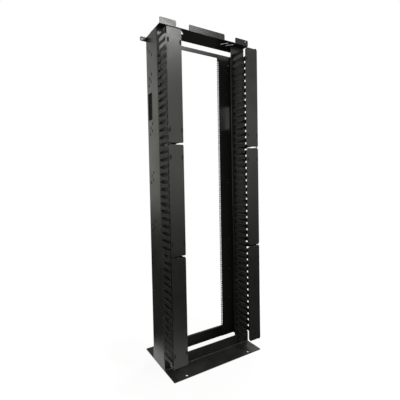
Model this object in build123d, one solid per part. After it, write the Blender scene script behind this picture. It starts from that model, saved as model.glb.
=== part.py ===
from build123d import *
import os

# Floor-standing two-post rack with a cable trough in front of each post, millimetres.
# X runs to the right, Y to the back, Z up. The origin is on the floor, under the middle.

# Rack spacing standard
unit_height = 44.45
units = 45
opening_width = 450.85
hole_row_inset = 7.125
unit_hole_heights = (6.35, 22.225, 38.1)
equipment_hole_side = 9.5

# Overall sizes
rack_width = 685.8
rack_depth = 428.6
trough_depth = 161.9
units_start = 79.4
units_end_to_top = 53.95

# Sheet and bar thicknesses
wall_sheet = 3.0
comb_sheet = 2.0
cover_sheet = 2.0
base_bar = 5.0
bend_r = 2.5

# Base angles
base_flange_height = 76.2
anchor_x = 245.0
anchor_inset = 22.0
anchor_hole_d = 16.0
base_corner_r = 6.0
base_inner_r = 6.0

# Side walls, their openings measured down from the top
window_y = 35.0
window_drop = 458.6
window_width = 60.0
window_height = 170.0
window_corner_r = 4.0
tie_hole_d = 6.0
tie_hole_places = ((9.0, 32.0), (37.0, 10.0), (19.0, -13.0), (49.0, -32.0))
tie_group_drops = (290.6, 601.6, 912.6, 1223.6)
top_row_steps = 3
top_row_first = (67.0, 79.6)
top_row_last = (3.0, 139.6)

# Rear panels
panel_hole_inset = 34.9
panel_hole_d = 7.0
panel_hole_pitch = 5 * unit_height
panel_hole_count = 8

# Finger combs
comb_flange = 16.0
comb_inset = 15.9
comb_root = 28.0
root_slot_depth = 22.0
root_slot_height = 14.0
finger_height = 20.0
finger_head_height = 29.0
finger_flare = 14.0
sections = 3

# Trough covers
cover_width = 96.0
cover_gap = 10.0
cover_corner_r = 9.0
cover_return = 8.0
cover_tip_clearance = 22.0
hinge_inset = 6.0
hinge_ear = 11.0
hinge_ear_sheet = 2.5
pin_d = 5.0
pin_clearance = 0.3
pin_past_ear = 3.5
bracket_sheet = 2.0
bracket_leg = 30.0
bracket_drop = 8.0

# Top plate and its front tabs
tray_front = 46.0
tray_rear_y = 12.0
tab_height = 36.0
side_tab_width = 112.0
label_panel_width = 278.0
tab_corner_r = 7.0
tab_hole_d = 8.0
tab_hole_inset = 22.0
tab_hole_height = 25.0
slot_centres = (170.0, 215.0)
slot_y = -84.0
slot_length = 58.0
slot_width = 9.0

# Rear top bar
bar_height = 28.0
bar_ear = 40.0
bar_ear_r = 8.0
bar_hole_d = 8.0
bar_hole_inset = 14.0

# Derived places
wall_height = units_start + units * unit_height + units_end_to_top
half_width = rack_width / 2
half_depth = rack_depth / 2
half_trough = trough_depth / 2
half_opening = opening_width / 2
cover_front_y = -half_depth
finger_tip_y = cover_front_y + cover_tip_clearance
comb_root_y = -half_trough
section_height = units * unit_height / sections
plate_bottom = wall_height - wall_sheet
inner_comb_x = half_opening + comb_inset
hinge_x = half_width - hinge_inset
hinge_y = cover_front_y + cover_sheet + hinge_ear / 2
section_starts = [units_start + i * section_height for i in range(sections)]
section_names = ("lower", "middle", "upper")


def block(x0, x1, y0, y1, z0, z1):
    """A box between two limits on each axis."""
    size = Box(x1 - x0, y1 - y0, z1 - z0)
    return Pos((x0 + x1) / 2, (y0 + y1) / 2, (z0 + z1) / 2) * size


def bore_z(x, y, diameter, z0, z1):
    """A round cutter standing upright."""
    return Pos(x, y, (z0 + z1) / 2) * Cylinder(diameter / 2, z1 - z0)


def bore_y(x, z, diameter, y0, y1):
    """A round cutter lying from front to back."""
    return Pos(x, (y0 + y1) / 2, z) * Rot(90, 0, 0) * Cylinder(diameter / 2, y1 - y0)


def bore_x(y, z, diameter, x0, x1):
    """A round cutter lying from left to right."""
    return Pos((x0 + x1) / 2, y, z) * Rot(0, 90, 0) * Cylinder(diameter / 2, x1 - x0)


def mirrored(shape):
    """The same piece on the other side of the rack."""
    return shape.mirror(Plane.YZ)


def solid_of(shape):
    """The only solid of a shape."""
    found = shape.solids()
    if len(found) != 1:
        raise ValueError("expected one solid, found " + str(len(found)))
    return found[0]


def save(shape, name):
    """Writes one node."""
    export_step(shape, "parts/" + name + ".step")


def save_pair(shape, name):
    """Writes a right-hand piece and its mirror image."""
    save(shape, "right_" + name)
    save(mirrored(shape), "left_" + name)


def base_angle():
    """The front floor angle, its upright flange against the front of the side walls."""
    foot = block(-half_width, half_width, -half_depth, -half_trough, 0, base_bar)
    flange = block(-half_width, half_width, -half_trough - base_bar, -half_trough, 0, base_flange_height)
    angle = foot + flange
    corners = angle.edges().filter_by(Axis.Z).group_by(Axis.Y)[0]
    angle = fillet(corners, base_corner_r)
    heel = angle.edges().filter_by(Axis.X).filter_by_position(Axis.Z, base_bar - 0.1, base_bar + 0.1)
    angle = fillet(heel.sort_by(Axis.Y)[-1], base_inner_r)
    for x in (-anchor_x, anchor_x):
        angle -= bore_z(x, -half_depth + anchor_inset, anchor_hole_d, -1, base_bar + 1)
    return solid_of(angle)


def side_wall():
    """The right outer wall with its cable window and tie holes."""
    wall = block(half_width - wall_sheet, half_width, -half_trough, half_trough, 0, plate_bottom)
    uprights = wall.edges().filter_by(Axis.Z)
    wall = fillet(uprights.group_by(Axis.X)[-1], bend_r)
    x0 = half_width - wall_sheet - 1
    x1 = half_width + 1
    window = Box(x1 - x0, window_width, window_height)
    window = fillet(window.edges().filter_by(Axis.X), window_corner_r)
    cutters = [Pos((x0 + x1) / 2, window_y, wall_height - window_drop) * window]
    for drop in tie_group_drops:
        for y, rise in tie_hole_places:
            cutters.append(bore_x(y, wall_height - drop + rise, tie_hole_d, x0, x1))
    for i in range(top_row_steps):
        share = i / (top_row_steps - 1)
        y = top_row_first[0] + share * (top_row_last[0] - top_row_first[0])
        drop = top_row_first[1] + share * (top_row_last[1] - top_row_first[1])
        cutters.append(bore_x(y, wall_height - drop, tie_hole_d, x0, x1))
    return solid_of(wall - cutters)


def front_panel():
    """The right front panel, which carries the combs and closes the back of the trough."""
    panel = block(half_opening, half_width - wall_sheet, -half_trough, -half_trough + wall_sheet, 0, plate_bottom)
    return solid_of(panel)


def rear_panel():
    """The right rear panel, with the equipment hole row along its inner edge."""
    y0 = half_trough - wall_sheet
    panel = block(half_opening, half_width - wall_sheet, y0, half_trough, 0, plate_bottom)
    row_x0 = half_opening + hole_row_inset - equipment_hole_side / 2
    row_x1 = row_x0 + equipment_hole_side
    cutters = []
    for unit in range(units):
        for height in unit_hole_heights:
            z = units_start + unit * unit_height + height
            low = z - equipment_hole_side / 2
            high = z + equipment_hole_side / 2
            cutters.append(block(row_x0, row_x1, y0 - 1, half_trough + 1, low, high))
    hole_x = half_width - panel_hole_inset
    first = wall_height / 2 - (panel_hole_count - 1) / 2 * panel_hole_pitch
    for i in range(panel_hole_count):
        cutters.append(bore_y(hole_x, first + i * panel_hole_pitch, panel_hole_d, y0 - 1, half_trough + 1))
    return solid_of(panel - cutters)


def finger_middles(start):
    """The heights of the fingers of the comb section that starts at a height."""
    return [start + (i + 0.5) * unit_height for i in range(units // sections)]


def finger_outline(start):
    """The fingers of one comb section, as (y, z) points along the front of the root strip.

    The fingers flare at their tips, and a narrow slot runs back into the strip between two fingers.
    """
    root_front = comb_root_y - comb_root
    slot_back = root_front + root_slot_depth
    head_back = finger_tip_y + comb_sheet
    neck_front = finger_tip_y + finger_flare
    points = []
    for middle in finger_middles(start):
        if points:
            between = middle - unit_height / 2
            points.append((root_front, between - root_slot_height / 2))
            points.append((slot_back, between - root_slot_height / 2))
            points.append((slot_back, between + root_slot_height / 2))
            points.append((root_front, between + root_slot_height / 2))
        points.append((root_front, middle - finger_height / 2))
        points.append((neck_front, middle - finger_height / 2))
        points.append((head_back, middle - finger_head_height / 2))
        points.append((finger_tip_y, middle - finger_head_height / 2))
        points.append((finger_tip_y, middle + finger_head_height / 2))
        points.append((head_back, middle + finger_head_height / 2))
        points.append((neck_front, middle + finger_height / 2))
        points.append((root_front, middle + finger_height / 2))
    return points


def comb(plate_x, flange_x, start):
    """One comb section in an upright plane, with a flange flat against the front panel.

    The sheet lies from plate_x to plate_x plus its thickness, and the flange from flange_x
    to flange_x plus its width.
    """
    margin = cover_gap / 2
    low = start + margin
    high = start + section_height - margin
    outline = [(comb_root_y, low), (comb_root_y - comb_root, low)]
    outline += finger_outline(start)
    outline += [(comb_root_y - comb_root, high), (comb_root_y, high)]
    wire = Polyline([(plate_x, y, z) for y, z in outline], close=True)
    plate = extrude(make_face(wire), amount=comb_sheet, dir=(1, 0, 0))
    flange = block(flange_x, flange_x + comb_flange, comb_root_y - comb_sheet, comb_root_y, low, high)
    return solid_of(plate + flange)


def outer_comb(start):
    """A comb section on the outer side of the right trough, its flange turned inward."""
    return comb(half_width - comb_sheet, half_width - comb_flange, start)


def inner_comb(start):
    """A comb section on the inner side of the right trough, its flange turned outward."""
    return comb(inner_comb_x, inner_comb_x, start)


def cover(start):
    """A right-hand cover section with an ear for a pin at each end of its outer edge."""
    low = start + cover_gap / 2
    high = start + section_height - cover_gap / 2
    x0 = half_width - cover_width
    sheet = block(x0, half_width, cover_front_y, cover_front_y + cover_sheet, low, high)
    sheet = fillet(sheet.edges().filter_by(Axis.Y), cover_corner_r)
    ear_x0 = hinge_x - hinge_ear / 2
    ear_x1 = hinge_x + hinge_ear / 2
    ear_y0 = cover_front_y + cover_sheet
    ear_y1 = ear_y0 + hinge_ear
    offset = cover_corner_r
    edge_return = block(x0, x0 + cover_sheet, ear_y0, ear_y0 + cover_return, low + offset, high - offset)
    inside = [
        edge_return,
        block(ear_x0, ear_x1, ear_y0, ear_y1, low + offset, low + offset + hinge_ear_sheet),
        block(ear_x0, ear_x1, ear_y0, ear_y1, high - offset - hinge_ear_sheet, high - offset),
    ]
    body = sheet + inside
    hole = pin_d + 2 * pin_clearance
    body -= bore_z(hinge_x, hinge_y, hole, low + offset - 1, low + offset + hinge_ear_sheet + 1)
    body -= bore_z(hinge_x, hinge_y, hole, high - offset - hinge_ear_sheet - 1, high - offset + 1)
    return solid_of(body)


def bracket(level, leg_down, pin_down, pin_up):
    """A hinge bracket for the right-hand covers: a shelf with pins, on a leg fixed to a finger."""
    x1 = half_width - comb_sheet
    x0 = hinge_x - hinge_ear / 2
    shelf_y0 = cover_front_y + cover_sheet + 1
    leg_y0 = finger_tip_y + comb_sheet
    leg_y1 = leg_y0 + bracket_leg
    half = bracket_sheet / 2
    shelf = block(x0, x1, shelf_y0, leg_y1, level - half, level + half)
    reach = unit_height / 2 + bracket_drop
    if leg_down:
        leg = block(x1 - bracket_sheet, x1, leg_y0, leg_y1, level - reach, level + half)
    else:
        leg = block(x1 - bracket_sheet, x1, leg_y0, leg_y1, level - half, level + reach)
    body = shelf + leg
    pin_length = cover_gap / 2 + cover_corner_r + hinge_ear_sheet + pin_past_ear
    if pin_down:
        body += bore_z(hinge_x, hinge_y, pin_d, level - pin_length, level)
    if pin_up:
        body += bore_z(hinge_x, hinge_y, pin_d, level, level + pin_length)
    return solid_of(body)


def brackets():
    """The right-hand hinge brackets below, between and above the cover sections."""
    pieces = [bracket(units_start, False, False, True)]
    for start in section_starts[1:]:
        pieces.append(bracket(start, True, True, True))
    pieces.append(bracket(section_starts[-1] + section_height, True, True, False))
    return Compound(pieces)


def top_plate():
    """The top tray with its upright front tabs, label panel and rod slots."""
    front_y = -half_trough - tray_front
    plate = block(-half_width, half_width, front_y, tray_rear_y, plate_bottom, wall_height)
    top = wall_height + tab_height
    tabs = []
    half_label = label_panel_width / 2
    inner = half_width - side_tab_width
    for x0, x1 in ((-half_width, -inner), (-half_label, half_label), (inner, half_width)):
        tab = block(x0, x1, front_y, front_y + wall_sheet, plate_bottom, top)
        edges = tab.edges().filter_by(Axis.Y).group_by(Axis.Z)[-1]
        tabs.append(fillet(edges, tab_corner_r))
    body = plate + tabs
    cutters = []
    for side in (-1, 1):
        for x in slot_centres:
            slot = SlotOverall(slot_length, slot_width)
            cutter = extrude(slot, amount=wall_sheet + 2)
            cutters.append(Pos(side * x, slot_y, plate_bottom - 1) * Rot(0, 0, -45 * side) * cutter)
        hole_x = side * (half_width - tab_hole_inset)
        cutters.append(bore_y(hole_x, wall_height + tab_hole_height, tab_hole_d, front_y - 1, front_y + wall_sheet + 1))
    return solid_of(body - cutters)


def rear_bar():
    """The flat bar across the back of the rack's top, with an ear past each side."""
    end = half_width + bar_ear
    bar = block(-end, end, half_trough, half_trough + wall_sheet, wall_height - bar_height, wall_height)
    bar = fillet(bar.edges().filter_by(Axis.Y), bar_ear_r)
    for side in (-1, 1):
        x = side * (end - bar_hole_inset)
        z = wall_height - bar_height / 2
        bar -= bore_y(x, z, bar_hole_d, half_trough - 1, half_trough + wall_sheet + 1)
    return solid_of(bar)


os.makedirs("parts", exist_ok=True)

front_base = base_angle()
save(front_base, "base_angle_front")
save(front_base.mirror(Plane.XZ), "base_angle_rear")
save(top_plate(), "top_plate")
save(rear_bar(), "top_bar_rear")
save_pair(side_wall(), "side_wall")
save_pair(front_panel(), "front_panel")
save_pair(rear_panel(), "rear_panel")
save_pair(brackets(), "cover_brackets")
for name, start in zip(section_names, section_starts):
    save_pair(outer_comb(start), "outer_comb_" + name)
    save_pair(inner_comb(start), "inner_comb_" + name)
    save_pair(cover(start), "cover_" + name)
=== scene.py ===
import logging
import math
from dataclasses import dataclass, field
from enum import Enum
from functools import partial
from typing import Callable, Sequence

import bmesh
import bpy
from bmesh.types import BMEdge, BMFace
from bpy.types import Material, Node, NodeSocket, NodeTree, Object, World
from mathutils import Matrix, Vector


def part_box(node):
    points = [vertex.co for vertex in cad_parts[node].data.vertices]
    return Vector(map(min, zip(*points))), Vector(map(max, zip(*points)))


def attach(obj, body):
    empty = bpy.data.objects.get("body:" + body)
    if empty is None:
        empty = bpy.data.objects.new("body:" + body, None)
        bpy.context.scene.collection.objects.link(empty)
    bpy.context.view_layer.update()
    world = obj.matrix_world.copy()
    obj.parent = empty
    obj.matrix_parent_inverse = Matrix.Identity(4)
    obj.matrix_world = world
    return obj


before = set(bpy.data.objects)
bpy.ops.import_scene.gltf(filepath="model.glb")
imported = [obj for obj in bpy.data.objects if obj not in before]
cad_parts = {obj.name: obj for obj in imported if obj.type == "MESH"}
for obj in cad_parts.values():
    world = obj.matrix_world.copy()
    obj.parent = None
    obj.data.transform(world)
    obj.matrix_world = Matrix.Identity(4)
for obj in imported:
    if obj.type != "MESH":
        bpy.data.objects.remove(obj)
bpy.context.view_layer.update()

# Every length is in metres, unless its own line says otherwise.
MM = 0.001
UNIT = 44.45 * MM
RACK_HEIGHT = 2133.6 * MM
FRAME_BODY = "frame"
SECTIONS = ("lower", "middle", "upper")
TOUCH = 1e-6
WHITE = "#ffffff"

# Settings that many shader nodes share.
MULTIPLY = {"operation": "MULTIPLY"}
MAXIMUM = {"operation": "MAXIMUM"}
SMOOTH_STEP = {"interpolation_type": "SMOOTHSTEP"}
COLOUR_MIX = {"data_type": "RGBA"}

# The inputs of a range node in pairs, and the numbers of a colour mix's inputs.
FROM = ("From Min", "From Max")
TO = ("To Min", "To Max")
MIX_BY, MIX_FROM, MIX_TO = 0, 6, 7

# The values between which most of a noise lies, and those that only its peaks reach.
NOISE_BODY = (0.3, 0.7)
NOISE_PEAKS = (0.62, 0.78)

Pair = tuple[float, float]
Triple = tuple[float, float, float]

log = logging.getLogger("two_post_rack")


class Side(Enum):
    """The two sides of the rack, with the sign of X on each."""

    LEFT = -1
    RIGHT = 1

    @property
    def word(self) -> str:
        """The word that starts the names of this side's pieces."""
        return self.name.lower()


class Facing(Enum):
    """The way in which a fastener's head points, as a turn from +Z."""

    FRONT = Matrix.Rotation(math.radians(90), 4, "X")
    BACK = Matrix.Rotation(math.radians(-90), 4, "X")
    UP = Matrix.Identity(4)
    DOWN = Matrix.Rotation(math.radians(180), 4, "X")
    OUT_RIGHT = Matrix.Rotation(math.radians(90), 4, "Y")
    OUT_LEFT = Matrix.Rotation(math.radians(-90), 4, "Y")


class Element(Enum):
    """What is picked in edit mode, with the name of its list in a mesh."""

    FACE = "faces"
    EDGE = "edges"


def linear_colour(hex_code: str) -> tuple[float, float, float, float]:
    """Turns an sRGB colour into the linear one that a shader takes.

    Args:
        hex_code: The colour as "#rrggbb".

    Returns:
        Red, green, blue and alpha, linear.
    """
    channels = [int(hex_code[i:i + 2], 16) / 255 for i in (1, 3, 5)]
    linear = [c / 12.92 if c <= 0.04045 else ((c + 0.055) / 1.055) ** 2.4 for c in channels]
    return (linear[0], linear[1], linear[2], 1.0)


def put_node(
    tree: NodeTree,
    kind: str,
    settings: dict[str, object] | None = None,
    inputs: dict[str | int | tuple[str, ...], object] | None = None,
) -> Node:
    """Adds one node to a tree, with its settings and its inputs.

    Args:
        tree: The node tree of a material or the world.
        kind: Blender's name for the node.
        settings: Properties of the node itself.
        inputs: For each named or numbered input a value, or the socket or the node that feeds
            it, a node by its first live output. Several names in one key take one value each.

    Returns:
        The new node.
    """
    node = tree.nodes.new(kind)
    for key, value in (settings or {}).items():
        setattr(node, key, value)
    for key, value in (inputs or {}).items():
        for name, given in zip(key, value) if isinstance(key, tuple) else ((key, value),):
            if isinstance(given, Node):
                given = next(output for output in given.outputs if output.enabled)
            if isinstance(given, NodeSocket):
                tree.links.new(given, node.inputs[name])
            else:
                node.inputs[name].default_value = given
    return node


def empty_tree(owner: Material | World) -> NodeTree:
    """Clears the nodes of a material or a world.

    Args:
        owner: The material or the world.

    Returns:
        Its empty node tree.
    """
    owner.use_nodes = True
    owner.node_tree.nodes.clear()
    return owner.node_tree


@dataclass(frozen=True)
class Finish:
    """A finish of the rack, kept as one material.

    Args:
        name: The material's name.
    """

    name: str

    def material(self) -> Material:
        """Makes the material, or finds it where it is already made.

        Returns:
            The material.
        """
        known = bpy.data.materials.get(self.name)
        if known is not None:
            return known
        material = bpy.data.materials.new(self.name)
        self.fill(empty_tree(material))
        return material

    def fill(self, tree: NodeTree) -> None:
        """Puts the nodes of the finish in an empty tree. Each kind has its own."""
        raise NotImplementedError


@dataclass(frozen=True)
class PebbledSkin(Finish):
    """A dark skin with fine pebbles, the ground of the coat and of both mouldings.

    Args:
        colour: The skin's colour.
        edge_colour: Its colour on edges: where it is worn thin or rubbed, and on the combs a
            painted highlight where their edges catch the light.
        gloss: The roughness where it is smoothest.
        dull: The roughness where it is dullest.
        grain: The size of one pebble.
        relief: The height of the pebbles.
        edge_width: How far the skin rounds an edge.
        wear_width: How far the edge colour reaches from an edge: worn skin on most parts, a
            painted highlight on the combs.
        specular: The strength of the mirror part, with 0.5 as plain paint.
        cloud: The size of the slow clouding.
        cloud_tones: How dark and how light the clouding makes the colour.
        rub_width: The width of a rub mark.
        rub_length: Its length.
        rub_shine: How much smoother it is than the rest.
        bend: The likeness of both normals where the edge colour starts, and where it is full.
        wear_patches: The values of the clouding between which the edge colour grows.
        wear: The least and the most that the edge colour shows.
        slope: How far up a face looks where dust starts to lie, and where it is full.
        dust: The most that the dust shows.
        dust_colour: The colour of the dust.
        wave: The size of the skin's slow waves, in pebbles.
        wave_relief: The height of the waves, in heights of a pebble.
    """

    colour: str
    edge_colour: str
    gloss: float
    dull: float
    grain: float
    relief: float
    edge_width: float
    wear_width: float = 0.9 * MM
    specular: float = 0.5
    cloud: float = 110 * MM
    cloud_tones: Pair = (0.8, 1.2)
    rub_width: float = 9 * MM
    rub_length: float = 150 * MM
    rub_shine: float = 0.05
    bend: Pair = (0.97, 0.78)
    wear_patches: Pair = (0.35, 0.7)
    wear: Pair = (0.25, 0.9)
    slope: Pair = (0.6, 1.0)
    dust: float = 0.16
    dust_colour: str = "#8c8a84"
    wave: float = 7
    wave_relief: float = 2

    def fill(self, tree: NodeTree) -> None:
        """Puts the nodes of the skin in an empty tree.

        Args:
            tree: The material's nodes.
        """
        put = partial(put_node, tree)
        place = put("ShaderNodeTexCoord").outputs["Object"]
        # Slow clouding of the skin's thickness, a hand's width across.
        cloud = put("ShaderNodeTexNoise", inputs={
            "Vector": place, "Scale": 1 / self.cloud, "Detail": 3.0, "Roughness": 0.55})
        # Upright rub marks, long in Z.
        upright = put("ShaderNodeMapping", inputs={
            "Vector": place, "Scale": (1.0, 1.0, self.rub_width / self.rub_length)})
        rubs = put("ShaderNodeTexNoise", inputs={"Vector": upright, "Scale": 1 / self.rub_width})
        rub_marks = put("ShaderNodeMapRange", inputs={"Value": rubs, FROM: NOISE_PEAKS})
        # The pebbles, and the slow waves under them.
        pebbles = put("ShaderNodeTexNoise", inputs={
            "Vector": place, "Scale": 1 / self.grain, "Roughness": 0.6})
        waves = put("ShaderNodeTexNoise", inputs={
            "Vector": place, "Scale": 1 / (self.wave * self.grain), "Detail": 1.0})
        # Near an edge the rounded normal leaves the flat one. There the skin is worn thin, and on
        # the combs the edge colour is a painted highlight.
        rounded = put("ShaderNodeBevel", inputs={"Radius": self.edge_width})
        edge_mask_normal = put("ShaderNodeBevel", inputs={"Radius": self.wear_width})
        flat = put("ShaderNodeNewGeometry").outputs["Normal"]
        likeness = put("ShaderNodeVectorMath", {"operation": "DOT_PRODUCT"}, {0: edge_mask_normal, 1: flat})
        edge = put("ShaderNodeMapRange", inputs={"Value": likeness, FROM: self.bend})
        patchy = put("ShaderNodeMapRange", inputs={
            "Value": cloud, FROM: self.wear_patches, TO: self.wear})
        # Edge colour: real wear on most skins, a painted highlight on the combs.
        worn_and_highlit = put("ShaderNodeMath", MULTIPLY, {0: edge, 1: patchy})
        # Dust settles on what faces up.
        lifted = put("ShaderNodeSeparateXYZ", inputs={"Vector": flat})
        level = put("ShaderNodeMapRange", inputs={
            "Value": lifted.outputs["Z"], FROM: self.slope, "To Max": self.dust})
        dust = put("ShaderNodeMath", MULTIPLY, {0: level, 1: cloud})
        # The colour: the clouded skin, then its edges, then the dust.
        clouded = put("ShaderNodeMix", COLOUR_MIX, {
            MIX_BY: cloud, MIX_FROM: self.shade(self.cloud_tones[0]),
            MIX_TO: self.shade(self.cloud_tones[1])})
        edged = put("ShaderNodeMix", COLOUR_MIX, {
            MIX_BY: worn_and_highlit, MIX_FROM: clouded, MIX_TO: linear_colour(self.edge_colour)})
        dusty = put("ShaderNodeMix", COLOUR_MIX, {
            MIX_BY: dust, MIX_FROM: edged, MIX_TO: linear_colour(self.dust_colour)})
        # The sheen changes with the clouding, and rub marks shine.
        sheen = put("ShaderNodeMapRange", inputs={
            "Value": cloud, FROM: NOISE_BODY, TO: (self.gloss, self.dull)})
        rubbed = put("ShaderNodeMath", {"operation": "MULTIPLY_ADD"}, {
            0: rub_marks, 1: -self.rub_shine, 2: sheen})
        pebbled = put("ShaderNodeBump", inputs={
            "Height": pebbles, "Strength": 0.35, "Distance": self.relief, "Normal": rounded})
        wavy = put("ShaderNodeBump", inputs={
            "Height": waves, "Strength": 0.25,
            "Distance": self.wave_relief * self.relief, "Normal": pebbled})
        shader = put("ShaderNodeBsdfPrincipled", inputs={
            "Base Color": dusty, "Roughness": rubbed,
            "Specular IOR Level": self.specular, "Normal": wavy})
        put("ShaderNodeOutputMaterial", inputs={"Surface": shader})

    def shade(self, factor: float) -> tuple[float, float, float, float]:
        """The skin's linear colour, made lighter or darker by a factor."""
        red, green, blue, alpha = linear_colour(self.colour)
        return (red * factor, green * factor, blue * factor, alpha)


@dataclass(frozen=True)
class PowderCoat(PebbledSkin):
    """Black powder coat, sprayed dry on folded steel sheet and baked.

    The eye sees a semi-gloss black with a fine pebbled skin, slow changes of sheen from panel
    to panel, a slightly greyer line where the coat is thin over bends and sheared edges, a
    little dust on what faces up, and faint upright rub marks from handling. The real pebbles
    are about half a millimetre across, and they are drawn twice as coarse, so that they show.
    """

    colour: str = "#232423"
    edge_colour: str = "#4a4a47"
    gloss: float = 0.28
    dull: float = 0.38
    grain: float = 1.1 * MM
    relief: float = 0.03 * MM
    edge_width: float = 0.9 * MM


@dataclass(frozen=True)
class MouldedRubber(PebbledSkin):
    """Black rubber, pressed in a blasted steel mould.

    The eye sees a dull black with no clear highlight, and edges that are hardly lighter. The
    blasted grain is drawn coarser than it is, so that it shows.
    """

    colour: str = "#171716"
    edge_colour: str = "#242423"
    gloss: float = 0.62
    dull: float = 0.74
    grain: float = 0.5 * MM
    relief: float = 0.02 * MM
    edge_width: float = 0.5 * MM
    specular: float = 0.3


@dataclass(frozen=True)
class MouldedNylon(PebbledSkin):
    """Black nylon, injected into a polished steel mould.

    The eye sees a smooth black with a clear shine, and light on its rounded rims. The faint
    grain is drawn coarser than it is, so that it shows.
    """

    colour: str = "#1a1a19"
    edge_colour: str = "#3c3c39"
    gloss: float = 0.24
    dull: float = 0.32
    grain: float = 0.5 * MM
    relief: float = 0.01 * MM
    edge_width: float = 0.3 * MM


@dataclass(frozen=True)
class PlatedSteel(Finish):
    """Zinc-plated fastener steel, clear or black, tumbled in a barrel.

    The eye sees a soft metal shine, a fine tumbled grain and slightly duller low spots. The
    real grain is finer still, and it is drawn as coarse as it needs to show.

    Args:
        colour: The plating's colour.
        dull_colour: Its colour where it has dulled.
        roughness: The roughness of the bright plating.
        dulling: How much rougher the dull plating is.
        grain: The size of the tumbled marks.
        patch: The size of the dull patches, in marks.
        relief: The depth of the marks.
    """

    colour: str
    dull_colour: str
    roughness: float = 0.28
    dulling: float = 0.16
    grain: float = 0.6 * MM
    patch: float = 5
    relief: float = 0.02 * MM

    def fill(self, tree: NodeTree) -> None:
        """Puts the nodes of the plating in an empty tree.

        Args:
            tree: The material's nodes.
        """
        put = partial(put_node, tree)
        place = put("ShaderNodeTexCoord").outputs["Object"]
        patches = put("ShaderNodeTexNoise", inputs={
            "Vector": place, "Scale": 1 / (self.patch * self.grain),
            "Detail": 3.0, "Roughness": 0.6})
        tumbled = put("ShaderNodeTexNoise", inputs={
            "Vector": place, "Scale": 1 / self.grain, "Roughness": 0.6})
        tone = put("ShaderNodeMix", COLOUR_MIX, {
            MIX_BY: patches, MIX_FROM: linear_colour(self.colour),
            MIX_TO: linear_colour(self.dull_colour)})
        shine = put("ShaderNodeMapRange", inputs={
            "Value": tumbled, FROM: NOISE_BODY,
            TO: (self.roughness, self.roughness + self.dulling)})
        marks = put("ShaderNodeBump", inputs={
            "Height": tumbled, "Strength": 0.3, "Distance": self.relief})
        shader = put("ShaderNodeBsdfPrincipled", inputs={
            "Base Color": tone, "Metallic": 1.0, "Roughness": shine, "Normal": marks})
        put("ShaderNodeOutputMaterial", inputs={"Surface": shader})


FRAME_COAT = PowderCoat("frame_powder_coat")
# The rear panels are a little greyer than the rest.
PANEL_COAT = PowderCoat("panel_powder_coat", colour="#333431")
# The top plate is a little smoother.
TRAY_COAT = PowderCoat("tray_powder_coat", gloss=0.26, dull=0.34)
# The combs are a little darker and duller. The light that the punched edges of their fingers catch
# is painted on, as a light grey edge colour up to 4 mm wide.
COMB_COAT = PowderCoat(
    "comb_powder_coat", colour="#1c1d1b", edge_colour="#a09f98", gloss=0.5, dull=0.6,
    grain=0.9 * MM, wear_width=4.0 * MM, specular=0.35)
# The covers shine more evenly, and their brackets are darker and duller.
COVER_COAT = PowderCoat("cover_powder_coat", colour="#222221", dull=0.35, grain=1.0 * MM)
BRACKET_COAT = PowderCoat(
    "bracket_powder_coat", colour="#1b1c1b", gloss=0.36, dull=0.48, grain=0.9 * MM)
# Clear zinc is for the screws and rings, and black zinc for the bolts and rivets.
BRIGHT_ZINC = PlatedSteel("bright_zinc", "#c9c8c1", "#96958e")
SATIN_ZINC = PlatedSteel("satin_zinc", "#e2e1db", "#c2c1ba", roughness=0.58)
BLACK_ZINC = PlatedSteel("black_zinc", "#3a3a39", "#232323", roughness=0.36)
# Dull dark rubber for the covers' flat pads, which paint the shade of their latch slots.
BLACK_RUBBER = MouldedRubber("black_rubber")
BLACK_NYLON = MouldedNylon("black_nylon")


def clear_selection() -> None:
    """Leaves edit mode and selects nothing."""
    if bpy.context.object is not None and bpy.context.object.mode != "OBJECT":
        bpy.ops.object.mode_set(mode="OBJECT")
    bpy.ops.object.select_all(action="DESELECT")


def take_up(piece: Object) -> None:
    """Selects one piece alone and makes it the active one.

    Args:
        piece: The piece.
    """
    clear_selection()
    piece.select_set(True)
    bpy.context.view_layer.objects.active = piece


def open_mesh(piece: Object) -> None:
    """Goes into edit mode on one piece, with nothing picked.

    Args:
        piece: The piece.
    """
    take_up(piece)
    bpy.ops.object.mode_set(mode="EDIT")
    bpy.ops.mesh.select_mode(type="FACE")
    bpy.ops.mesh.select_all(action="DESELECT")


def close_mesh(piece: Object, smooth_below: float) -> None:
    """Leaves edit mode and smooths the faces that meet at a small angle.

    Args:
        piece: The piece in edit mode.
        smooth_below: The largest angle that is smoothed, in degrees.
    """
    take_up(piece)
    bpy.ops.object.shade_smooth_by_angle(angle=math.radians(smooth_below))
    clear_selection()


def pick(
    piece: Object,
    element: Element,
    wanted: Callable[[BMFace | BMEdge], bool],
) -> None:
    """Selects what passes a test in edit mode, and nothing else.

    Args:
        piece: The piece in edit mode.
        element: Whether faces or edges are picked.
        wanted: The test.
    """
    bpy.ops.mesh.select_mode(type=element.name)
    shape = bmesh.from_edit_mesh(piece.data)
    for part in getattr(shape, element.value):
        part.select_set(wanted(part))
    bmesh.update_edit_mesh(piece.data)


def turn_blank(sides: int, radius: float, height: float, seat: float = 0.0) -> Object:
    """Turns the short upright cylinder that a head is shaped from.

    Args:
        sides: The number of its sides.
        radius: Its radius.
        height: Its height.
        seat: The height at which it stands.

    Returns:
        The blank in edit mode, with nothing picked.
    """
    clear_selection()
    bpy.ops.mesh.primitive_cylinder_add(
        vertices=sides, radius=radius, depth=height, location=(0, 0, seat + height / 2))
    blank = bpy.context.object
    bpy.ops.object.transform_apply(location=True)
    open_mesh(blank)
    return blank


def round_rim(piece: Object, height: float, width: float, steps: int) -> None:
    """Rounds the upper rim of a blank.

    Args:
        piece: The blank in edit mode.
        height: The height of the rim.
        width: How far the rounding reaches from the rim.
        steps: The number of faces across the rounding.
    """
    def on_rim(edge: BMEdge) -> bool:
        """Tells whether an edge lies level at the height."""
        return all(abs(corner.co.z - height) < TOUCH for corner in edge.verts)

    pick(piece, Element.EDGE, on_rim)
    bpy.ops.mesh.bevel(offset=width, segments=steps, affect="EDGES")


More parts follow.
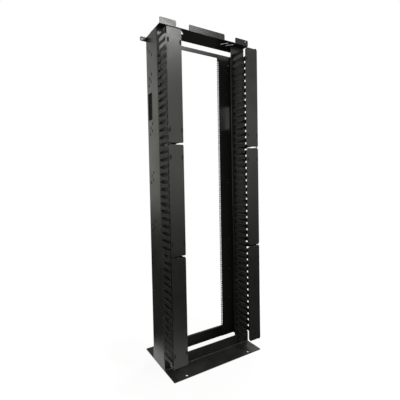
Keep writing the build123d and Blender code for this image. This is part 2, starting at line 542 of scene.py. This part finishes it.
def sink_top(piece: Object, height: float, rim: float, depth: float) -> None:
    """Sinks the top of a blank inside a rim, and leaves the sunk face picked.

    Args:
        piece: The blank in edit mode.
        height: The height of the top.
        rim: The width of the rim that stays.
        depth: How far the middle sinks.
    """
    def on_top(face: BMFace) -> bool:
        """Tells whether a face looks up and lies at the height."""
        return face.normal.z > 0.9 and abs(face.calc_center_median().z - height) < TOUCH

    pick(piece, Element.FACE, on_top)
    bpy.ops.mesh.inset(thickness=rim)
    bpy.ops.mesh.extrude_region_move(TRANSFORM_OT_translate={"value": (0, 0, -depth)})


@dataclass
class Fastener:
    """One kind of fastener head, modelled once at the origin with its seat at Z = 0.

    Args:
        finish: Its plating or skin.
    """

    finish: Finish

    def model(self) -> Object:
        """Models the head. Each kind has its own way."""
        raise NotImplementedError

    def place(
        self,
        piece_name: str,
        body: str,
        slot: str,
        spots: Sequence[tuple[Triple, Facing]],
    ) -> None:
        """Puts copies of the head at their places and joins them to one piece.

        Args:
            piece_name: The name of the piece.
            body: The body that it rides on.
            slot: A material slot of the record; it is not used.
            spots: The seat of each head and the way it faces.
        """
        pattern = self.model()
        copies = []
        for position, facing in spots:
            twin = pattern.copy()
            twin.data = pattern.data.copy()
            twin.data.transform(Matrix.Translation(position) @ facing.value)
            bpy.context.scene.collection.objects.link(twin)
            copies.append(twin)
        clear_selection()
        bpy.data.objects.remove(pattern)
        for twin in copies:
            twin.select_set(True)
        piece = copies[0]
        bpy.context.view_layer.objects.active = piece
        if len(copies) > 1:
            bpy.ops.object.join()
        piece.name = piece_name
        piece.data.name = piece_name
        piece.data.materials.clear()
        piece.data.materials.append(self.finish.material())
        clear_selection()
        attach(piece, body)
        log.info("%s: %d heads, %d faces", piece_name, len(spots), len(piece.data.polygons))


@dataclass
class PanScrew(Fastener):
    """A pan-head machine screw with a small tapered socket.

    Args:
        radius: The radius of the head.
        height: Its height.
        socket: The depth of the socket.
        rounding: How far the dome reaches in, as a share of the radius.
        land: The width of the flat round the socket, as a share of the radius.
        taper: The size of the socket's floor, as a share of its mouth.
    """

    radius: float = 5.5 * MM
    height: float = 2.6 * MM
    socket: float = 1.5 * MM
    rounding: float = 0.32
    land: float = 0.22
    taper: float = 0.72

    def model(self) -> Object:
        """Turns a domed head and sinks a tapered socket in its top.

        Returns:
            The head.
        """
        head = turn_blank(16, self.radius, self.height)
        round_rim(head, self.height, self.rounding * self.radius, steps=3)
        sink_top(head, self.height, self.land * self.radius, self.socket)
        bpy.ops.transform.resize(value=(self.taper, self.taper, 1.0))
        close_mesh(head, smooth_below=40)
        return head


@dataclass
class HexBolt(Fastener):
    """A hexagon bolt head on a plain washer.

    Args:
        across: The width of the head across its flats.
        height: The height of the head.
        washer_radius: The radius of the washer.
        washer_height: Its thickness.
        washer_rounding: The rounding of its rim.
        rounding: The rounding of the head's rim.
        land: The width of the raised ring on the head.
        dish: How far the middle of the head is sunk.
    """

    across: float = 13.0 * MM
    height: float = 5.3 * MM
    washer_radius: float = 8.5 * MM
    washer_height: float = 1.6 * MM
    washer_rounding: float = 0.25 * MM
    rounding: float = 0.9 * MM
    land: float = 1.0 * MM
    dish: float = 0.3 * MM

    def model(self) -> Object:
        """Shapes the washer and the head and joins them.

        Returns:
            The head on its washer.
        """
        washer = turn_blank(24, self.washer_radius, self.washer_height)
        round_rim(washer, self.washer_height, self.washer_rounding, steps=2)
        close_mesh(washer, smooth_below=35)
        top = self.washer_height + self.height
        head = turn_blank(6, self.across / math.sqrt(3), self.height, self.washer_height)
        round_rim(head, top, self.rounding, steps=2)
        sink_top(head, top, self.land, self.dish)
        close_mesh(head, smooth_below=30)
        take_up(head)
        washer.select_set(True)
        bpy.ops.object.join()
        return head


@dataclass
class DomeRivet(Fastener):
    """A low domed blind rivet with a dimple where its stem broke off.

    Args:
        radius: The radius of the head.
        height: Its height.
        rounding: How far the dome reaches down, as a share of the height.
        land: The width of the ring round the dimple, as a share of the radius.
        dimple: The depth of the dimple, as a share of the height.
    """

    radius: float = 3.4 * MM
    height: float = 1.1 * MM
    rounding: float = 0.8
    land: float = 0.3
    dimple: float = 0.4

    def model(self) -> Object:
        """Turns a low dome and sinks its dimple.

        Returns:
            The head.
        """
        head = turn_blank(14, self.radius, self.height)
        round_rim(head, self.height, self.rounding * self.height, steps=2)
        sink_top(head, self.height, self.land * self.radius, self.dimple * self.height)
        close_mesh(head, smooth_below=50)
        return head


@dataclass
class OvalGrommet(Fastener):
    """An oval moulded grommet, with a raised rim and a sunk middle; made thin, it is also a flat
    pad of painted shade.

    Args:
        length: Its length in X.
        width: Its width in Y.
        height: The height of its rim.
        rim: The width of its rim.
        sink: How far its middle is sunk.
        lean: How far it is turned about Z, in degrees.
        rounding: The rounding of its rim, as a share of the height.
    """

    length: float = 20 * MM
    width: float = 11 * MM
    height: float = 1.6 * MM
    rim: float = 2.2 * MM
    sink: float = 1.3 * MM
    lean: float = 20
    rounding: float = 0.4

    def model(self) -> Object:
        """Presses a disc to an oval, rounds its rim and sinks its middle.

        Returns:
            The grommet.
        """
        oval = turn_blank(20, 0.5, self.height)
        bpy.ops.mesh.select_all(action="SELECT")
        bpy.ops.transform.resize(value=(self.length, self.width, 1), center_override=(0, 0, 0))
        bpy.ops.transform.rotate(
            value=math.radians(self.lean), orient_axis="Z", center_override=(0, 0, 0))
        round_rim(oval, self.height, self.rounding * self.height, steps=2)
        sink_top(oval, self.height, self.rim, self.sink)
        close_mesh(oval, smooth_below=45)
        return oval


@dataclass
class SpringRing(Fastener):
    """A split spring ring that keeps a cover on its hinge pin.

    Args:
        inner_radius: The radius of its hole.
        outer_radius: Its outer radius.
        thickness: Its thickness.
        sweep: How far it goes round the pin, in degrees.
    """

    inner_radius: float = 2.6 * MM
    outer_radius: float = 4.6 * MM
    thickness: float = 0.8 * MM
    sweep: float = 320

    def model(self) -> Object:
        """Spins a small rectangle round the pin, short of a whole turn.

        Returns:
            The ring.
        """
        clear_selection()
        width = self.outer_radius - self.inner_radius
        bpy.ops.mesh.primitive_plane_add(size=1, location=(0, 0, 0))
        ring = bpy.context.object
        open_mesh(ring)
        bpy.ops.mesh.select_all(action="SELECT")
        bpy.ops.transform.resize(value=(width, self.thickness, 1))
        shape = bmesh.from_edit_mesh(ring.data)
        for corner in shape.verts:
            across, up = corner.co.x, corner.co.y
            corner.co = (self.inner_radius + width / 2 + across, 0, self.thickness / 2 + up)
        bmesh.update_edit_mesh(ring.data)
        bpy.ops.mesh.spin(
            steps=14, angle=math.radians(self.sweep), center=(0, 0, 0), axis=(0, 0, 1))
        bpy.ops.mesh.select_all(action="SELECT")
        bpy.ops.mesh.remove_doubles(threshold=TOUCH)
        bpy.ops.mesh.normals_make_consistent(inside=False)
        close_mesh(ring, smooth_below=35)
        return ring


def coat_node(name: str, finish: Finish) -> None:
    """Gives a carried-over node its finish.

    Args:
        name: The node's name.
        finish: The finish.
    """
    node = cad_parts[name]
    if not node.material_slots:
        node.data.materials.append(finish.material())
    for slot in node.material_slots:
        slot.material = finish.material()
    log.info("%s: %s", name, finish.name)


@dataclass
class SteelFrame:
    """The side wall and the two panels of one post, with their fasteners and grommets.

    Args:
        side: Which half of the frame this is.
        bolt: The bolts through the base angles.
        bright_screw: The bright screw near the top of the rear panel.
        small_screw: The small screws of the rear panel.
        grommet: The grommets in the wall's tie holes.
        base_bolt_heights: The heights of the bolts through the upright flanges.
        base_bolt_inset: How far those bolts stand from each side of the post.
        flange: The thickness of the base angles.
        bright_screw_place: Where the bright screw stands, as X and height.
        small_screw_places: Where the two small screws below it stand.
        column_x: How far the column of small screws stands from the middle.
        column_screws: The number of screws in the column.
        column_units: How many rack units part them.
        tie_heights: The heights of the groups of tie holes.
        tie_places: Where the holes of a group stand, as depth and rise from its middle.
        top_row: Where the three holes near the wall's top stand, as depth and height.
    """

    side: Side
    bolt: HexBolt = field(default_factory=lambda: HexBolt(BLACK_ZINC))
    bright_screw: PanScrew = field(default_factory=lambda: PanScrew(SATIN_ZINC))
    small_screw: PanScrew = field(default_factory=lambda: PanScrew(
        BRIGHT_ZINC, radius=4.0 * MM, height=2.0 * MM, socket=1.1 * MM))
    grommet: OvalGrommet = field(default_factory=lambda: OvalGrommet(BLACK_NYLON))
    base_bolt_heights: Pair = (24 * MM, 54 * MM)
    base_bolt_inset: float = 26 * MM
    flange: float = 5 * MM
    bright_screw_place: Pair = (327 * MM, 2063 * MM)
    small_screw_places: tuple[Pair, ...] = ((308 * MM, 2024 * MM), (320 * MM, 2007 * MM))
    column_x: float = 308 * MM
    column_screws: int = 8
    column_units: int = 5
    tie_heights: tuple[float, ...] = (1843 * MM, 1532 * MM, 1221 * MM, 910 * MM)
    tie_places: tuple[Pair, ...] = (
        (9 * MM, 32 * MM), (37 * MM, 10 * MM), (19 * MM, -13 * MM), (49 * MM, -32 * MM))
    top_row: tuple[Pair, ...] = ((67 * MM, 2054 * MM), (35 * MM, 2024 * MM), (3 * MM, 1994 * MM))

    def dress(self) -> None:
        """Coats the nodes of this half and adds its fasteners."""
        for part in ("side_wall", "front_panel"):
            coat_node(f"{self.side.word}_{part}", FRAME_COAT)
        coat_node(f"{self.side.word}_rear_panel", PANEL_COAT)
        self.add_base_bolts()
        self.add_panel_screws()
        self.add_grommets()

    def add_base_bolts(self) -> None:
        """Adds the bolts that hold the two panels between the base angles."""
        sign = self.side.value
        low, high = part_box(f"{self.side.word}_side_wall")
        wall_x = max(abs(low.x), abs(high.x))
        panel_low, panel_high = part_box(f"{self.side.word}_front_panel")
        panel_x = min(abs(panel_low.x), abs(panel_high.x))
        spots = []
        for height in self.base_bolt_heights:
            for x in (panel_x + self.base_bolt_inset, wall_x - self.base_bolt_inset):
                spots.append(((sign * x, low.y - self.flange, height), Facing.FRONT))
                spots.append(((sign * x, high.y + self.flange, height), Facing.BACK))
        self.bolt.place(f"{self.side.word}_base_bolts", FRAME_BODY, "frame_steel", spots)

    def add_panel_screws(self) -> None:
        """Adds the screws of the rear panel, on its front face and its back."""
        sign = self.side.value
        low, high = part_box(f"{self.side.word}_rear_panel")
        x, height = self.bright_screw_place
        bright = [((sign * x, low.y, height), Facing.FRONT)]
        self.bright_screw.place(f"{self.side.word}_panel_screw", FRAME_BODY, "frame_steel", bright)
        small = [
            ((sign * x, low.y, height), Facing.FRONT) for x, height in self.small_screw_places]
        for number in range(self.column_screws):
            rise = (number - (self.column_screws - 1) / 2) * self.column_units * UNIT
            height = RACK_HEIGHT / 2 + rise
            small.append(((sign * self.column_x, low.y, height), Facing.FRONT))
            small.append(((sign * self.column_x, high.y, height), Facing.BACK))
        self.small_screw.place(
            f"{self.side.word}_panel_small_screws", FRAME_BODY, "frame_steel", small)

    def add_grommets(self) -> None:
        """Adds the grommets on the outer face of the wall."""
        low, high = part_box(f"{self.side.word}_side_wall")
        face = max(abs(low.x), abs(high.x)) * self.side.value
        facing = Facing.OUT_RIGHT if self.side is Side.RIGHT else Facing.OUT_LEFT
        spots = [((face, depth, height), facing) for depth, height in self.top_row]
        for middle in self.tie_heights:
            for depth, rise in self.tie_places:
                spots.append(((face, depth, middle + rise), facing))
        self.grommet.place(f"{self.side.word}_tie_grommets", FRAME_BODY, "frame_steel", spots)


@dataclass
class FingerCombs:
    """The inner and outer finger combs of one trough, with their rivets.

    Args:
        side: Which trough.
        rivet: The rivets that hold the combs.
        rivet_units: The units of a section at which rivets stand.
        rivet_inset: How far a rivet stands from the edge of the comb's root.
        end_gap: How far a comb stops short of the end of its section.
        sheet: The thickness of the combs.
    """

    side: Side
    rivet: DomeRivet = field(default_factory=lambda: DomeRivet(BLACK_ZINC))
    rivet_units: tuple[float, ...] = (1.5, 7.5, 13.5)
    rivet_inset: float = 6.5 * MM
    end_gap: float = 5 * MM
    sheet: float = 2 * MM

    def dress(self) -> None:
        """Coats the combs and adds their rivets."""
        sign = self.side.value
        spots = []
        for section in SECTIONS:
            outer = f"{self.side.word}_outer_comb_{section}"
            inner = f"{self.side.word}_inner_comb_{section}"
            coat_node(outer, COMB_COAT)
            coat_node(inner, COMB_COAT)
            outer_low, outer_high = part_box(outer)
            inner_low, inner_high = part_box(inner)
            outer_x = min(abs(outer_low.x), abs(outer_high.x)) + self.rivet_inset
            inner_x = max(abs(inner_low.x), abs(inner_high.x)) - self.rivet_inset
            for units in self.rivet_units:
                height = outer_low.z - self.end_gap + units * UNIT
                for x, back in ((outer_x, outer_high.y), (inner_x, inner_high.y)):
                    spots.append(((sign * x, back - self.sheet, height), Facing.FRONT))
        self.rivet.place(f"{self.side.word}_comb_rivets", FRAME_BODY, "comb_steel", spots)


@dataclass
class TroughCovers:
    """The three hinged covers of one trough, the flat dark pads of painted latch shade on them,
    their brackets and spring rings.

    Args:
        side: Which trough.
        plug: The flat dark rubber pads on the face of a cover, painted shade of its latch slots.
        ring: The ring on each hinge pin.
        plug_inset: How far a pad stands from the long edge.
        plug_rise: How far it stands from the end of the cover.
        plug_depth: How far its seat lies behind the cover's face.
        hinge_inset: How far the hinge stands from the outer edge.
        hinge_depth: How far it stands behind the cover's face.
        ring_rise: How far a ring stands from the end of the cover.
    """

    side: Side
    # Dull dark rubber pads, almost flush, that paint the shade of the latch slots.
    plug: OvalGrommet = field(default_factory=lambda: OvalGrommet(
        BLACK_RUBBER, length=14 * MM, width=30 * MM, height=0.8 * MM,
        rim=1.6 * MM, sink=0.03 * MM, lean=0))
    ring: SpringRing = field(default_factory=lambda: SpringRing(BRIGHT_ZINC))
    plug_inset: float = 8 * MM
    plug_rise: float = 75 * MM
    plug_depth: float = 0.75 * MM
    hinge_inset: float = 6 * MM
    hinge_depth: float = 7.5 * MM
    ring_rise: float = 12.8 * MM

    def dress(self) -> None:
        """Coats the covers and brackets, and adds the pads of painted latch shade and the rings.
        """
        sign = self.side.value
        coat_node(f"{self.side.word}_cover_brackets", BRACKET_COAT)
        rings = []
        for section in SECTIONS:
            name = f"{self.side.word}_cover_{section}"
            coat_node(name, COVER_COAT)
            low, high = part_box(name)
            outer = max(abs(low.x), abs(high.x))
            inner = min(abs(low.x), abs(high.x))
            latch_shades = []
            # Flat dark pads of painted shade, where the covers' latch slots are.
            for x in (outer - self.plug_inset, inner + self.plug_inset):
                for z in (low.z + self.plug_rise, high.z - self.plug_rise):
                    latch_shades.append(((sign * x, low.y + self.plug_depth, z), Facing.FRONT))
            self.plug.place(f"{name}_plugs", name, "cover_steel", latch_shades)
            hinge_x = sign * (outer - self.hinge_inset)
            hinge_y = low.y + self.hinge_depth
            rings.append(((hinge_x, hinge_y, low.z + self.ring_rise), Facing.UP))
            rings.append(((hinge_x, hinge_y, high.z - self.ring_rise), Facing.DOWN))
        self.ring.place(f"{self.side.word}_hinge_rings", FRAME_BODY, "bracket_steel", rings)


@dataclass
class TopTray:
    """The top plate with its tabs, and the rear bar with its bolts.

    Args:
        bolt: The bolts that hold the bar to the posts.
        bolt_places: How far they stand from the middle.
    """

    bolt: HexBolt = field(default_factory=lambda: HexBolt(
        BLACK_ZINC, across=10 * MM, height=4 * MM,
        washer_radius=6.5 * MM, washer_height=1.2 * MM))
    bolt_places: Pair = (245 * MM, 322 * MM)

    def dress(self) -> None:
        """Coats the plate and the bar and adds the bar's bolts."""
        coat_node("top_plate", TRAY_COAT)
        coat_node("top_bar_rear", FRAME_COAT)
        low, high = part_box("top_bar_rear")
        middle = (low.z + high.z) / 2
        spots = [
            ((side.value * x, high.y, middle), Facing.BACK)
            for side in Side for x in self.bolt_places]
        self.bolt.place("top_bar_bolts", FRAME_BODY, "frame_steel", spots)


@dataclass
class FloorBase:
    """The two floor angles.

    Args:
        angles: Their nodes.
    """

    angles: tuple[str, ...] = ("base_angle_front", "base_angle_rear")

    def dress(self) -> None:
        """Coats the floor angles."""
        for angle in self.angles:
            coat_node(angle, FRAME_COAT)


@dataclass(frozen=True)
class StudioCamera:
    """The camera, where the photograph was taken from.

    Args:
        picture: The width and height of the photograph, in pixels.
        focal_pixels: The focal length, in pixels of the photograph.
        centre: Where the lens axis meets the photograph, in pixels.
        yaw: The camera's turn to the right, in degrees.
        pitch: Its tilt up, in degrees.
        roll: Its roll, in degrees.
        position: Where it stands.
        sight: How far it sees.
    """

    picture: int = 400
    focal_pixels: float = 300.14
    centre: Pair = (182.92, 192.65)
    yaw: float = 29.740
    pitch: float = -2.067
    roll: float = -1.221
    position: Triple = (-1.1375, -1.7532, 1.1897)
    sight: float = 50

    def build(self) -> None:
        """Stands the camera in its place and hands it to the scene."""
        yaw, pitch, roll = (math.radians(a) for a in (self.yaw, self.pitch, self.roll))
        level = math.cos(pitch)
        ahead = Vector((math.sin(yaw) * level, math.cos(yaw) * level, math.sin(pitch)))
        right = Vector((math.cos(yaw), -math.sin(yaw), 0))
        up = right.cross(ahead)
        rolled_right = right * math.cos(roll) + up * math.sin(roll)
        rolled_up = up * math.cos(roll) - right * math.sin(roll)
        turn = Matrix((rolled_right, rolled_up, -ahead)).transposed()
        data = bpy.data.cameras.new("studio_camera")
        data.lens = self.focal_pixels / self.picture * data.sensor_width
        data.shift_x = (self.picture / 2 - self.centre[0]) / self.picture
        data.shift_y = (self.centre[1] - self.picture / 2) / self.picture
        data.clip_end = self.sight
        camera = bpy.data.objects.new("studio_camera", data)
        camera.matrix_world = Matrix.Translation(self.position) @ turn.to_4x4()
        bpy.context.scene.collection.objects.link(camera)
        bpy.context.scene.camera = camera


@dataclass(frozen=True)
class PaleFloor(Finish):
    """A round pale floor of matt paint that fades to white and keeps the rack's soft shadow.

    Three spots of it glow for glossy rays alone, as painted reflections in the coat's gloss:
    a patch beside the foot of the left wall, a glow before the left cover, and a bright floor
    further off, behind the right side and before the left. The camera does not see them.

    Args:
        name: The name of its material.
        radius: The floor's radius.
        colour: The colour of the paint.
        fade: Where it starts to brighten and where it is white from the middle.
        shown: How bright the camera sees it there, with 1 as white.
        patch: The middle of the patch beside the left wall.
        patch_reach: How far the patch reaches from there.
        patch_rim: Where the patch fades out, as shares of that reach.
        patch_gloss: How bright the patch is in a mirror.
        glow: The middle of the glow before the left cover.
        glow_reach: How far the glow reaches.
        glow_gloss: How bright the glow is in a mirror.
        far: The products of X and Y between which the far floor brightens.
        far_gloss: How bright the far floor is in a mirror.
    """

    name: str = "pale_floor"
    radius: float = 1.5
    colour: str = "#626261"
    fade: Pair = (0.55, 1.35)
    shown: Pair = (0.925, 1.0)
    patch: Triple = (-0.36, 0.0, 0.0)
    patch_reach: Triple = (0.09, 0.36, 1.0)
    patch_rim: Pair = (0.9, 1.05)
    patch_gloss: float = 1.1
    glow: Triple = (-0.28, -0.42, 0.0)
    glow_reach: float = 0.6
    glow_gloss: float = 0.95
    far: Pair = (0.05, 0.3)
    far_gloss: float = 0.6

    def build(self) -> None:
        """Lays the floor under the rack."""
        clear_selection()
        bpy.ops.mesh.primitive_circle_add(
            vertices=96, radius=self.radius, fill_type="NGON", location=(0, 0, 0))
        floor = bpy.context.object
        floor.name = "studio_floor"
        floor.data.materials.append(self.material())
        clear_selection()

    def fill(self, tree: NodeTree) -> None:
        """Puts the nodes of the painted floor in an empty tree.

        Args:
            tree: The material's nodes.
        """
        put = partial(put_node, tree)
        rays = put("ShaderNodeLightPath")
        place = put("ShaderNodeTexCoord").outputs["Object"]
        reach = put("ShaderNodeVectorMath", {"operation": "LENGTH"}, {0: place})
        fade = put("ShaderNodeMapRange", inputs={"Value": reach, FROM: self.fade, TO: self.shown})
        seen = put("ShaderNodeMath", MULTIPLY, {0: rays.outputs["Is Camera Ray"], 1: fade})
        # Painted reflections: the floor glows at three spots for glossy rays alone.
        painted_reflections = put("ShaderNodeMath", MULTIPLY, {
            0: rays.outputs["Is Glossy Ray"], 1: self.add_gloss(tree, place)})
        shown = put("ShaderNodeMath", MAXIMUM, {0: seen, 1: painted_reflections})
        paint = put("ShaderNodeBsdfDiffuse", inputs={"Color": linear_colour(self.colour)})
        light = put("ShaderNodeEmission", inputs={
            "Color": linear_colour(WHITE), "Strength": shown})
        both = put("ShaderNodeAddShader", inputs={0: paint, 1: light})
        put("ShaderNodeOutputMaterial", inputs={"Surface": both})

    def add_gloss(self, tree: NodeTree, place: NodeSocket) -> Node:
        """Adds the nodes of the painted reflections, the floor's glow that only glossy rays see.

        Args:
            tree: The material's nodes.
            place: The place on the floor.

        Returns:
            The brightness that the painted reflections give the floor, for glossy rays.
        """
        put = partial(put_node, tree)
        spot = put("ShaderNodeMapping", {"vector_type": "TEXTURE"}, {
            "Vector": place, "Location": self.patch, "Scale": self.patch_reach})
        spot_reach = put("ShaderNodeVectorMath", {"operation": "LENGTH"}, {0: spot})
        patch = put("ShaderNodeMapRange", SMOOTH_STEP, {
            "Value": spot_reach, FROM: self.patch_rim, TO: (self.patch_gloss, 0.0)})
        away = put("ShaderNodeVectorMath", {"operation": "DISTANCE"}, {0: place, 1: self.glow})
        glow = put("ShaderNodeMapRange", SMOOTH_STEP, {
            "Value": away, "From Max": self.glow_reach, TO: (self.glow_gloss, 0.0)})
        near_floor = put("ShaderNodeMath", MAXIMUM, {0: patch, 1: glow})
        corner = put("ShaderNodeSeparateXYZ", inputs={"Vector": place})
        quarter = put("ShaderNodeMath", MULTIPLY, {0: corner.outputs["X"], 1: corner.outputs["Y"]})
        far_floor = put("ShaderNodeMapRange", SMOOTH_STEP, {
            "Value": quarter, FROM: self.far, "To Max": self.far_gloss})
        return put("ShaderNodeMath", MAXIMUM, {0: near_floor, 1: far_floor})


@dataclass(frozen=True)
class StudioRoom:
    """The room round the rack, white to the camera.

    The coat mirrors a white backdrop behind the rack and to its left, and a white wall in
    front of it. Both fade out over head height. The rest of the room is dim.

    Args:
        fill: The strength of the room's even light.
        fill_colour: The colour of that light and of what gloss mirrors.
        dim: How bright the dim part of the room is in a mirror.
        side_walls: How bright the side walls are there.
        backdrop: How bright the backdrop is there.
        backdrop_way: The direction in which it stands.
        front_wall: How bright the front wall is there.
        front_way: The direction in which it stands.
        wall_fade: How straight a ray meets a wall where it fades in, and where it is full.
        foot: The rise of a ray where the walls start, and where they are full.
        head: Its rise where they start to fade, and where they are gone.
    """

    fill: float = 0.28
    fill_colour: str = "#fdfff6"
    dim: float = 0.05
    side_walls: float = 0.4
    backdrop: float = 1.12
    backdrop_way: Triple = (-0.407, 0.914, 0.0)
    front_wall: float = 1.85
    front_way: Triple = (0.087, -0.996, 0.0)
    wall_fade: Pair = (0.76, 0.90)
    foot: Pair = (-0.13, -0.05)
    head: Pair = (0.38, 0.52)

    def build(self) -> None:
        """Makes the room the world of the scene."""
        world = bpy.data.worlds.new("studio_world")
        bpy.context.scene.world = world
        tree = empty_tree(world)
        put = partial(put_node, tree)
        rays = put("ShaderNodeLightPath")
        seen = put("ShaderNodeMath", MAXIMUM, {
            0: rays.outputs["Is Camera Ray"], 1: rays.outputs["Is Transmission Ray"]})
        # A number mix takes its two values at 2 and 3.
        gloss = put("ShaderNodeMix", {"data_type": "FLOAT"}, {
            MIX_BY: rays.outputs["Is Glossy Ray"], 2: self.fill, 3: self.add_walls(tree)})
        strength = put("ShaderNodeMath", MAXIMUM, {0: seen, 1: gloss})
        tint = put("ShaderNodeMix", COLOUR_MIX, {
            MIX_BY: seen, MIX_FROM: linear_colour(self.fill_colour), MIX_TO: linear_colour(WHITE)})
        sky = put("ShaderNodeBackground", inputs={"Color": tint, "Strength": strength})
        put("ShaderNodeOutputWorld", inputs={"Surface": sky})

    def add_walls(self, tree: NodeTree) -> Node:
        """Adds the nodes for what gloss mirrors of the room.

        Args:
            tree: The world's nodes.

        Returns:
            The room's brightness in the direction of a ray.
        """
        put = partial(put_node, tree)
        direction = put("ShaderNodeTexCoord").outputs["Generated"]
        rise = put("ShaderNodeSeparateXYZ", inputs={"Vector": direction}).outputs["Z"]
        foot = put("ShaderNodeMapRange", SMOOTH_STEP, {"Value": rise, FROM: self.foot})
        head = put("ShaderNodeMapRange", SMOOTH_STEP, {
            "Value": rise, FROM: self.head, TO: (1.0, 0.0)})
        band = put("ShaderNodeMath", MULTIPLY, {0: foot, 1: head})
        walls = self.side_walls
        for way, strength in (
                (self.backdrop_way, self.backdrop), (self.front_way, self.front_wall)):
            facing = put("ShaderNodeVectorMath", {"operation": "DOT_PRODUCT"}, {
                0: direction, 1: way})
            wall = put("ShaderNodeMapRange", SMOOTH_STEP, {
                "Value": facing, FROM: self.wall_fade, "To Max": strength})
            walls = put("ShaderNodeMath", MAXIMUM, {0: walls, 1: wall})
        banded = put("ShaderNodeMath", MULTIPLY, {0: band, 1: walls})
        return put("ShaderNodeMath", MAXIMUM, {0: banded, 1: self.dim})


@dataclass(frozen=True)
class Softbox:
    """A rectangular softbox.

    Args:
        name: Its name.
        position: Where it hangs.
        target: The point that it faces.
        size: Its width and height.
        power: Its power, in watts.
    """

    name: str
    position: Triple
    target: Triple
    size: Pair
    power: float

    def build(self) -> None:
        """Hangs the softbox."""
        data = bpy.data.lights.new(self.name, "AREA")
        data.shape = "RECTANGLE"
        data.size, data.size_y = self.size
        data.energy = self.power
        lamp = bpy.data.objects.new(self.name, data)
        lamp.location = self.position
        lamp.rotation_mode = "QUATERNION"
        beam = Vector(self.target) - Vector(self.position)
        lamp.rotation_quaternion = beam.to_track_quat("-Z", "Y")
        bpy.context.scene.collection.objects.link(lamp)


@dataclass(frozen=True)
class Studio:
    """The studio: camera, floor, room and softboxes.

    Args:
        camera: The camera.
        floor: The floor.
        room: The room.
        softboxes: The lamps.
    """

    camera: StudioCamera = StudioCamera()
    floor: PaleFloor = PaleFloor()
    room: StudioRoom = StudioRoom()
    # For each its position, its target, its size and its power.
    softboxes: tuple[Softbox, ...] = (
        Softbox("front_softbox", (1.09, -2.75, 3.72), (-0.3, -0.15, 2.1), (0.5, 0.5), 27),
        Softbox("high_softbox", (0.5, -1.7, 4.4), (0.1, 0.0, 1.8), (1.2, 0.9), 12),
        Softbox("right_softbox", (3.0, -1.0, 2.2), (0.3, 0.0, 1.7), (0.7, 0.9), 20),
        Softbox("left_softbox", (-1.7, -3.0, 1.5), (0.1, 0.0, 1.2), (1.0, 1.4), 12),
        Softbox("back_softbox", (3.2, 1.7, 3.6), (0.1, 0.0, 1.3), (1.4, 1.4), 60),
    )

    def build(self) -> None:
        """Makes the studio, and keeps colours as they are written."""
        for fitting in (self.camera, self.floor, self.room, *self.softboxes):
            fitting.build()
        bpy.context.scene.view_settings.view_transform = "Standard"
        log.info("studio: camera, floor, room and %d softboxes", len(self.softboxes))


def main() -> None:
    """Builds the studio and dresses the rack, piece by piece."""
    logging.basicConfig(level=logging.INFO, format="%(name)s %(message)s")
    clear_selection()
    Studio().build()
    FloorBase().dress()
    TopTray().dress()
    for side in Side:
        SteelFrame(side).dress()
        FingerCombs(side).dress()
        TroughCovers(side).dress()


if __name__ == "__main__":
    main()
